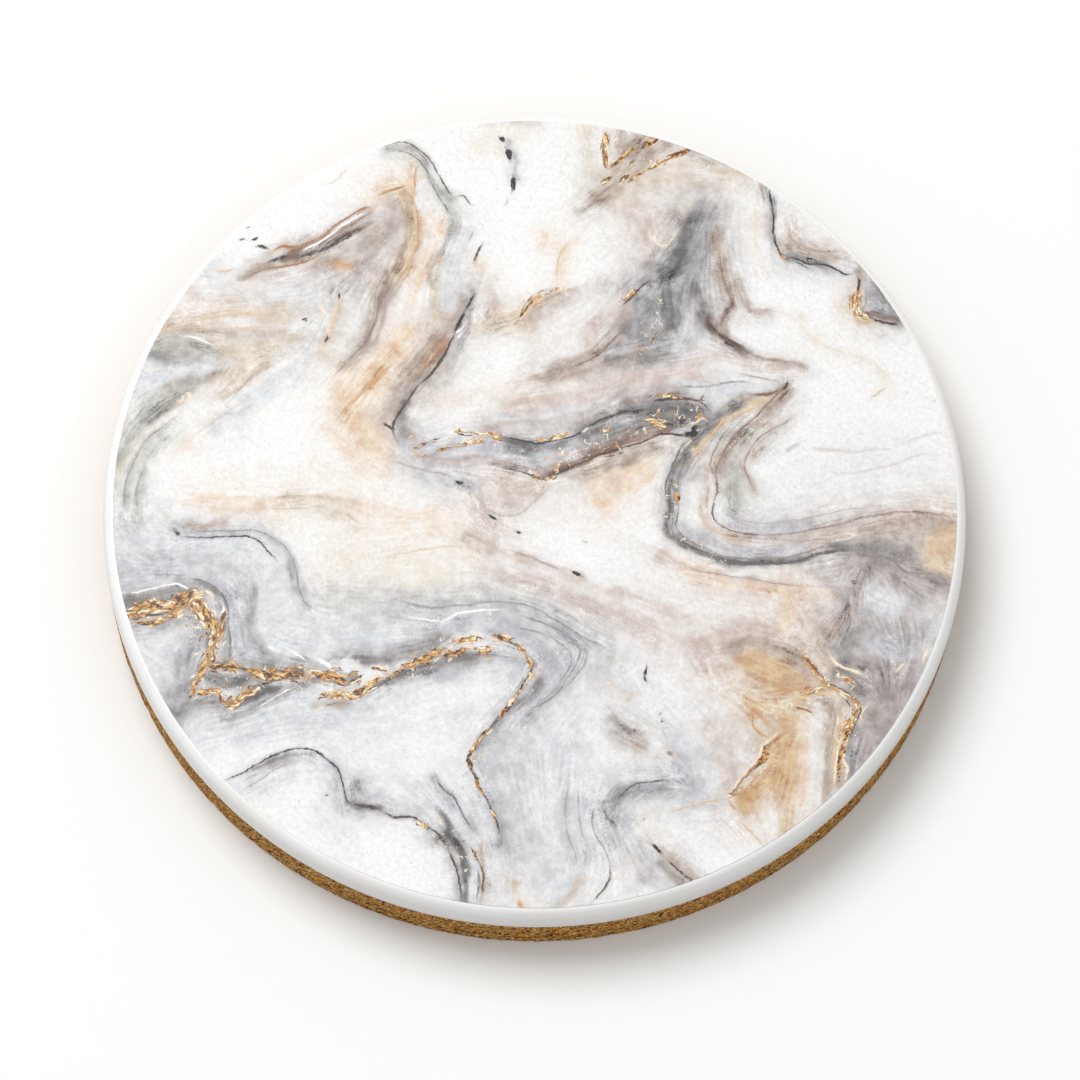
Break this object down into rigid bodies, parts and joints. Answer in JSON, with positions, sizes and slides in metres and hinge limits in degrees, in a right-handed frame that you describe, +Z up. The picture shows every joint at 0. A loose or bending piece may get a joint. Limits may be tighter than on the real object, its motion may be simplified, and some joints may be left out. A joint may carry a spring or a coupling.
{
  "type": "drink coaster",
  "caption": "Round drink coaster: a glazed ceramic disc with a marble-look printed top and a rounded white rim, glued onto a thick cork base.",
  "frame": {"origin": "middle of the cork base's underside, on the table", "axes": "+Z up, out of the printed face and along the disc's axis; the print is turned so that +Y is its far side and +X its right side"},
  "size_m": [0.1, 0.1, 0.0095],
  "materials": {
    "cork": "matte",
    "adhesive": "matte",
    "white_glaze": "satin",
    "marble_print": "satin"
  },
  "bodies": {
    "root": {"cork_base": "cork", "adhesive_film": "adhesive", "ceramic_body": "white_glaze", "printed_top": "marble_print"}
  },
  "joints": []
}
